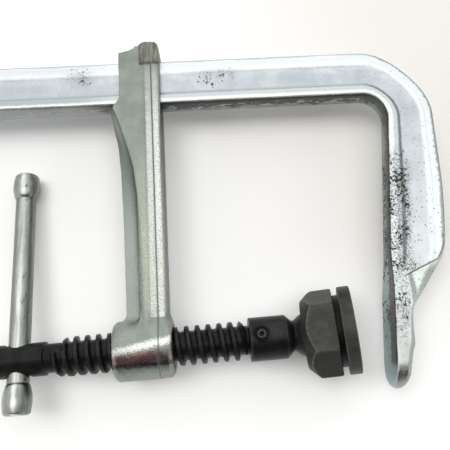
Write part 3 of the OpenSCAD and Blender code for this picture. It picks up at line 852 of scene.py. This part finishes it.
def arm_mesh():
    front = -22.8
    side = outline(HEAD_TOP + [(front - 1, 31.5), (front, 28), (front, ARM_END)] + RAISED[::-1])
    web = outline([(front - 2, 20), (front - 2, ARM_END)] + WEB[::-1] + [(-44, 20)])
    half = [(front, 6.4), (-23.1, 9.6), (-24.2, 10.45), (SEAM_X, 10.75), (-30.0, 10.35), (-31.4, 9.2),
            (-36, 8.4)]
    flange = outline(half + [(a, -b) for a, b in half[::-1]])
    cap = outline([(-32.8, 21.5), (-33, 32.6), (-30.2, 34.2), (-24.2, 33.4), (front, 28), (front, 21.5)])
    tilt = math.radians(TOE)
    c, s = math.cos(tilt), math.sin(tilt)

    def field(x, y, z):
        plate = slab(side(x, y), z, 9.4, 0.5)
        thin = slab(web(x, y), z, 3.4, 0.8)
        body = join(plate, thin, 5.2)
        rib = np.maximum(flange(x, z), np.maximum(y - 32.8, ARM_END - y))
        body = join(body, rib, 0.8)
        body = join(body, slab(cap(x, y), z, 11.1, 0.7), 0.9)
        # barrel of the screw
        along, off = x * c + (y + THROAT) * s + 35, -x * s + (y + THROAT) * c
        radius = np.hypot(off, z)
        barrel = common(radius - BARREL_R, np.abs(along) - BARREL_HALF, 3.0)
        body = join(body, barrel, 3.4)
        # flash left at the parting line, and the unevenness of a forging
        body = body - 0.28 * np.exp(-((x - SEAM_X) / 0.42) ** 2)
        body = body + 0.07 * np.sin(0.31 * x + 0.23 * y) * np.sin(0.27 * z + 0.19 * y + 1.3)
        body = body + 0.04 * np.sin(0.83 * y + 0.5 * x) * np.sin(0.7 * z + 0.9 * x)
        # the rail's slot, and the bore with its countersunk ends
        slot = np.maximum(np.abs(y - RAIL_H / 2) - RAIL_H / 2 - SLOT_PLAY, np.abs(z) - HALF_T - SLOT_PLAY)
        body = common(body, -slot, 0.5)
        bore = radius - BORE_R - np.clip(np.abs(along) - 13.3, 0, 1.2)
        return common(body, -bore, 0.3)

    # finer cells across the parting line
    xs = np.concatenate([np.arange(-50, -28.2, 0.65), np.arange(-28.2, -25.6, 0.28),
                         np.arange(-25.6, -19.4, 0.6)])
    verts, faces = skin(field, xs, np.arange(-142, 36, 0.68), np.arange(-15.6, 15.61, 0.65))
    x, y, z = verts.T
    off = -x * s + (y + THROAT) * c
    up = np.abs(z) > 6.8
    out_of_plate = side(x, y)
    above_boss = 1 - smooth(-y, 107, 113)
    slope = [field(*(verts + 0.05 * e).T) - field(*(verts - 0.05 * e).T) for e in np.eye(3)]
    facing = np.abs(slope[2]) / np.maximum(np.sqrt(sum(g ** 2 for g in slope)), 1e-6)
    marks = {
        "low": smooth(-y, 20, 90) * above_boss,
        "ridge": up * (0.45 * smooth(-y, -26, -10) + 0.55 * smooth(-y, -14, 20)) * (y > -112),
        "hollow": np.exp(-((out_of_plate - 1.5) / 1.7) ** 2) * smooth(-y, 4, 40) * above_boss,
        "thin": smooth(out_of_plate, 2.0, 3.5) * above_boss,
        "boss": smooth(-y, 110, 116), "off": off,
        "upper": smooth(z, 0, 3), "steep": 1 - smooth(facing, 0.12, 0.5),
        "seam": 0.85 * np.exp(-((x - SEAM_X) / 0.35) ** 2) * (np.hypot(off, z) > 10.5) * (np.abs(z) > 2),
        "pad": smooth(y, 20.5, 22) * smooth(x, -33.6, -32.6)}
    return (verts, faces), marks


mesh, marks = arm_mesh()
piece("arm_forging", mesh, CLAMP, "arm", ["sliding_arm"], ARM_ZINC, marks=marks)


# ---- screw: head and coarse round-flanked thread on one bar
PITCH, ROOT, CREST = 5.4, 7.0, 9.5
THREAD_START, THREAD_END, THREAD_TURN = -79.5, 16.0, 70
HEAD_START, HEAD_R, SHANK_R = -114, 8.1, 6.0


def screw_mesh():
    stations = np.concatenate([
        [HEAD_START, -113.95, -113.7, -113.2, -112.8], np.arange(-112, -83.5, 0.9),
        [-83.3, -83.1, -82.95, -82.8, -82.6, -82.2], np.arange(-81.8, 16.4, 0.33),
        [16.5, 17, 24, 31.8, 32.3, 32.6]])
    n = 84
    angles = np.arange(n) * 2 * math.pi / n
    rings = []
    for s in stations:
        # the thread rises and falls once a turn, grows out of the bar at its start and fades at its end
        u = ((s - THREAD_START) / PITCH - (np.degrees(angles) - THREAD_TURN) / 360) % 1.0
        rise = smooth(u, 0.0, 0.15) * (1 - smooth(u, 0.45, 0.60))
        grow = smooth((s - THREAD_START) - PITCH * ((np.degrees(angles) - THREAD_TURN) % 360) / 360, -2.0, 3.5)
        fade = 1 - smooth(s, THREAD_END - 4.2, THREAD_END - 0.4)
        r = ROOT + (CREST - ROOT) * rise * grow * fade
        if s < -83.2:
            r = HEAD_R - 1.2 * (1 - min(1, max(0, s - HEAD_START) / 1.2)) ** 1.5
        elif s < -82.2:
            r = r + (HEAD_R - r) * (1 - smooth(s, -83.2, -82.4))
        elif s > 16.45:
            r = SHANK_R - 0.7 * smooth(s, 31.8, 32.6)
        rings.append(np.stack([np.full(n, s), r * np.cos(angles), r * np.sin(angles)], -1))
    verts, faces = loft(rings)
    return verts, [f[::-1] for f in faces]


def spool():
    """What the cross hole takes away: a hole that flares out at both ends."""
    half = [(0.0, 5.5), (4.6, 5.5, 1.5), (6.2, 5.75, 1.2), (8.3, 7.5, 1.2), (11.0, 10.5)]
    pts = [(-a[0], *a[1:]) for a in half[:0:-1]] + half
    return swap_axis(lathe([(-11.0, 0), *softened(pts, 4), (11.0, 0)], 64), "Y")


mesh = screw_mesh()
radius = np.hypot(mesh[0][:, 1], mesh[0][:, 2])
edge = 0.18 * smooth(radius, 9.1, CREST)
screw = piece("screw", mesh, SCREW, "screw", ["spindle"], SCREW_BLACK, marks={"edge": edge})
carve(screw, SCREW, spool(), TOMMY)


# ---- sleeve, neck and ball in one piece, and the pin that holds it on the screw
def tip_mesh():
    ball = [(BALL_S - a, r) for a, r in arc(BALL_R, math.radians(47), math.pi, 40)]
    front = softened([(33.0, 0), (33.0, 6.05), (16.7, 6.05), (16.7, 10.7, 0.45), (34.9, 10.7, 0.5),
                      (37.7, 7.8, 0.5), (38.3, 7.5, 0.5), (39.4, 7.5, 0.7), ball[0]], 5)
    return lathe(stepped(front[:-1], 1.2) + ball[:-1] + [(BALL_S + BALL_R, 0)], 112)


mesh = tip_mesh()
s, y, z = mesh[0].T
worn = np.exp(-((s - 29) / 5) ** 2) * smooth(z, 5, 9.5) * smooth(y, -3, 2) * (np.hypot(y, z) > 10)
edge = 0.55 * np.exp(-((s - 16.9) / 0.35) ** 2) + 0.35 * np.exp(-((s - 34.9) / 0.5) ** 2) + 0.28 * worn
tip = piece("tip_sleeve", mesh, SCREW, "swivel_tip", ["ball_tip"], SCREW_BLACK,
            marks={"edge": edge})
bore = lathe([(0, 0), (0, 2.3), (9.0, 2.3), (9.1, 3.4), (11.2, 3.5), (14, 3.9), (14, 0)], 64)
carve(tip, SCREW, swap_axis(bore, "Z"), PIN)
# painted shade in the counterbore
counterbore_shade = tip.data.attributes.new("dim", "FLOAT", "POINT")
x, y, z = np.array([PIN.own(v.co) for v in tip.data.vertices]).T
counterbore_shade.data.foreach_set("value", ((np.hypot(x, y) < 4.1) & (z > 9)).astype(np.float32))
pin = lathe(softened([(4.4, 0), (4.4, 2.2, 0.2), (10.35, 2.24, 0.3), (10.35, 1.15, 0.15), (8.6, 1.1, 0.2),
                      (8.3, 0)], 4), 64)
piece("tip_pin_head", swap_axis(pin, "Z"), PIN, "swivel_tip", ["tip_pin"], SCREW_BLACK,
      marks={"edge": 0.7 * (pin[0][:, 0] > 10)})


# ---- pad: hexagonal housing, plate, and the ring that holds the ball in
HEX_AF, HEX_TURN, BACK, HEX_END = 37.5, 10.0, -4.0, 12.1
SEAT_R, THREAD_R, MOUTH_R = 13.25, 15.02, 12.3


def housing_mesh():
    corner = HEX_AF / 2 / math.cos(math.radians(30))
    turned = outline([(BACK, -30), (BACK, 16.5), (BACK + 5.7, corner + 0.1), (HEX_END - 0.8, corner + 0.1),
                      (HEX_END, corner - 0.7), (HEX_END, -30)])
    normals = [math.radians(30 + 60 * k - HEX_TURN) for k in range(3)]

    def flats(y, z):
        return [np.abs(y * math.cos(a) + z * math.sin(a)) - HEX_AF / 2 for a in normals]

    def field(x, y, z):
        rho = np.hypot(y, z)
        a, b, c = flats(y, z)
        prism = common(common(a, b, 0.3), c, 0.3)
        body = common(prism, turned(x, rho), 0.3)
        # inside: the ball's seat, a bore, the plate's thread, and a flared mouth at the back
        inner = np.minimum(np.sqrt(x * x + rho * rho) - SEAT_R, np.maximum(rho - SEAT_R, np.abs(x - 2) - 2))
        inner = np.minimum(inner, np.maximum(rho - THREAD_R, 4 - x))
        inner = np.minimum(inner, np.maximum(rho - MOUTH_R + (x - BACK - 0.6), x - BACK - 0.6))
        return common(body, -inner, 0.25)

    span = np.arange(-22.3, 22.31, 0.5)
    verts, faces = skin(field, np.arange(-5.2, 13.3, 0.47), span, span)
    x, y, z = verts.T
    rho = np.hypot(y, z)
    faces_at, cone_at = np.max(np.stack(flats(y, z)), axis=0), turned(x, rho)
    edge = 0.6 * np.exp(-((cone_at - faces_at) / 0.2) ** 2)
    edge *= (np.maximum(cone_at, faces_at) > -0.8) * (x < HEX_END - 1.5)
    outer = rho > 15.5
    # painted shade on the cone and on the side faces of the hexagon, strongest on those facing -y
    tilt = np.abs(y * math.cos(0.19) - z * math.sin(0.19)) / np.maximum(rho, 1)
    dim = np.maximum(0.55 * smooth(cone_at - faces_at, 0.05, 0.5), 0.8 * smooth(tilt, 0.52, 0.6) * (y < 0))
    dim = np.maximum(dim, 0.35 * smooth(tilt, 0.52, 0.6)) * outer
    return (verts, faces), {"edge": edge, "dim": dim, "turned": 1.0 * outer}


mesh, marks = housing_mesh()
piece("pad_hexagon", mesh, PAD, "pad", ["pad_housing"], PAD_BLACK, marks=marks)

CUP_R, RING_OUT, RING_IN = 11.55, 13.15, 11.56
cup = arc(CUP_R, 0, math.acos(4 / CUP_R), 16)
rim = softened([cup[-1], (4, 15.0, 0.5), (HEX_END, 15.0), (HEX_END, 17.5, 0.3), (14.9, 17.5, 0.4),
                (14.9, 21.3, 0.7), (21.0, 21.3, 0.8), (21.0, 0)], 5)
mesh = lathe([*cup[:-1], *rim], 144)
x, y, z = mesh[0].T
rho = np.hypot(y, z)
edge = 0.35 * (np.exp(-((x - 15.0) / 0.3) ** 2) + np.exp(-((x - 20.8) / 0.3) ** 2)) * (rho > 20.5)
# painted shade in the gap behind the plate and on the sides of its rim
dim = np.where(rho < 18, 0.95, 0.45 * smooth(np.abs(y) / np.maximum(rho, 1), 0.5, 0.8))
piece("pad_disc", mesh, PAD, "pad", ["pad_plate"], PAD_BLACK, marks={"edge": edge, "dim": dim})

ring = arc(RING_OUT, math.acos(0.35 / RING_OUT), math.acos(-2.35 / RING_OUT), 9)
ring += arc(RING_IN, math.acos(-2.35 / RING_IN), math.acos(0.35 / RING_IN), 9)
verts, faces = lathe(ring, 96, closed=True)
mesh = verts, [f[::-1] for f in faces]
piece("seat_ring", mesh, RING, "seat_ring", ["pad_seat_ring"], RING_STEEL, 35)


# ---- tommy bar with two pressed-on knobs
BAR_R, TENON_R, TENON_L, BAR_L, OUT_NEAR, KNOB_L, KNOB_R = 5.2, 3.5, 10, 125, 25.2, 14.5, 6.8
SHORT, LONG = OUT_NEAR - KNOB_L, BAR_L - OUT_NEAR - KNOB_L


def bar_mesh():
    p = softened([(-SHORT - TENON_L, 0), (-SHORT - TENON_L, TENON_R, 0.4), (-SHORT, TENON_R),
                  (-SHORT, BAR_R, 0.3), (LONG, BAR_R, 0.3), (LONG, TENON_R),
                  (LONG + TENON_L, TENON_R, 0.4), (LONG + TENON_L, 0)], 4)
    return swap_axis(lathe(stepped(p, 4), 72), "Y")


def knob_mesh(sign):
    """A barrel that swells from the bar's width, with its bore for the tenon."""
    foot, bore = BAR_R + 0.15, TENON_R + 0.02
    barrel = [((KNOB_L - 0.8) * t, foot + (KNOB_R - 0.6 - foot) * t + 1.15 * math.sin(math.pi * t ** 0.9))
              for t in np.linspace(0, 1, 15)]
    end = softened([barrel[-2], (*barrel[-1], 0.9), (KNOB_L, 5.1, 0.7), (KNOB_L, 0)], 5)
    p = [(TENON_L - 0.1, 0), (TENON_L - 0.1, bore), (0.0, bore), (0.0, BAR_R - 0.35), (0.12, BAR_R + 0.02)]
    verts, faces = lathe([*p, *barrel[1:-2], *end], 80)
    if sign < 0:
        verts, faces = verts * [-1, 1, 1], [f[::-1] for f in faces]
    return swap_axis((verts, faces), "Y")


piece("tommy_rod", bar_mesh(), TOMMY, "tommy", ["tommy_bar"], BAR_ZINC)
for name, node, sign, y in (("tommy_knob_far", "tommy_knob_long", 1, LONG),
                            ("tommy_knob_near", "tommy_knob_short", -1, -SHORT)):
    mesh = knob_mesh(sign)
    mark = {"knob": np.ones(len(mesh[0]))}
    piece(name, mesh, TOMMY.at((0, y, 0)), "tommy", [node], BAR_ZINC, 50, mark)


# ---- floor, light and camera
def floor():
    data = bpy.data.meshes.new("floor")
    w, below = 3.0, -0.0003
    data.from_pydata([(-w, -w, 0), (w, -w, 0), (w, w, 0), (-w, w, 0)], [], [(0, 1, 2, 3)])
    n = Nodes(bpy.data.materials.new("floor_white"))
    n.place = n.add("TexCoord").outputs["Object"]
    n.color = n.mix(n.ramp(n.noise(9.0, 3), 0.3, 0.7), (0.86, 0.855, 0.845), (0.89, 0.885, 0.875))
    # a faint, warm painted shade on the floor to the right of the limb
    right, beyond = n.plane((1, 0, 0)), n.plane((0, 1, 0))
    n.paint(n.times(n.ramp(right, 0.02, 0.19), n.ramp(beyond, -0.07, 0.0)), (0.75, 0.725, 0.69))
    data.materials.append(n.finish(rough=0.6, specular=0.2))
    obj = added("floor", data)
    obj.location.z = below


def studio():
    scene = bpy.context.scene
    scene.world = bpy.data.worlds.new("studio")
    n = Nodes(scene.world)
    n.place = n.add("TexCoord").outputs["Generated"]

    def lobe(direction, inner, outer):
        """1 within `inner` degrees of a direction, 0 beyond `outer`."""
        return n.ramp(n.plane(direction), math.cos(math.radians(outer)), math.cos(math.radians(inner)))

    def strip(axis, inner, outer, offset=0.0):
        """1 where the direction's slope along `axis` is within `inner` of `offset`, 0 beyond `outer`."""
        split = n.add("SeparateXYZ", {"Vector": n.place})
        slope = n.math("DIVIDE", split.outputs[axis], n.most(split.outputs["Z"], 0.05))
        return n.ramp(n.math("ABSOLUTE", n.minus(slope, offset)), outer, inner)

    # a white room: bright wall beyond the rail, a dark patch in front, a long ceiling light over the screw
    n.color = n.mix(lobe((0, 0, 1), 20, 60), (0.98, 1.00, 1.00), (0.94, 0.97, 0.98))
    n.paint(lobe((0, 1, 0.36), 20, 50), (1.15, 1.17, 1.17))
    n.paint(n.times(strip("Y", 3.0, 3.2, -3.2), strip("X", 0.8, 1.5)), (0.055, 0.035, 0.036))
    n.paint(n.times(strip("Y", 0.05, 0.15, 0.06), strip("X", 0.55, 0.85)), (2.3, 2.28, 2.22))
    back = n.tree.nodes["Background"]
    n.put(back.inputs["Color"], n.color)
    back.inputs["Strength"].default_value = 1.0

    def sun(name, spot, spread, strength):
        """A lamp for the floor and its shadows; the metal mirrors only the room."""
        light = bpy.data.lights.new(name, "SUN")
        light.angle, light.energy = math.radians(spread), strength
        obj = added(name, light)
        obj.rotation_euler = Vector(spot).to_track_quat("Z", "Y").to_euler()
        obj.visible_glossy = False

    sun("key", (-0.40, 0.22, 1), 26, 0.85)
    sun("fill", (0.12, 0.05, 1), 50, 0.75)
    scene.view_settings.view_transform = "Standard"
    scene.view_settings.exposure = 0.0


def camera():
    data = bpy.data.cameras.new("camera")
    data.sensor_width, data.lens = 36.0, 41.2
    data.clip_start, data.clip_end = 0.005, 20
    obj = added("camera", data)
    aim = turn("X", 12.0) @ turn("Y", -1.68) @ turn("Z", -3.03)
    obj.matrix_world = Matrix.Translation(CLAMP.row((0.12, -122.24, 261.4))) @ Matrix(aim.tolist()).to_4x4()
    bpy.context.scene.camera = obj


floor()
studio()
camera()
bpy.context.view_layer.update()
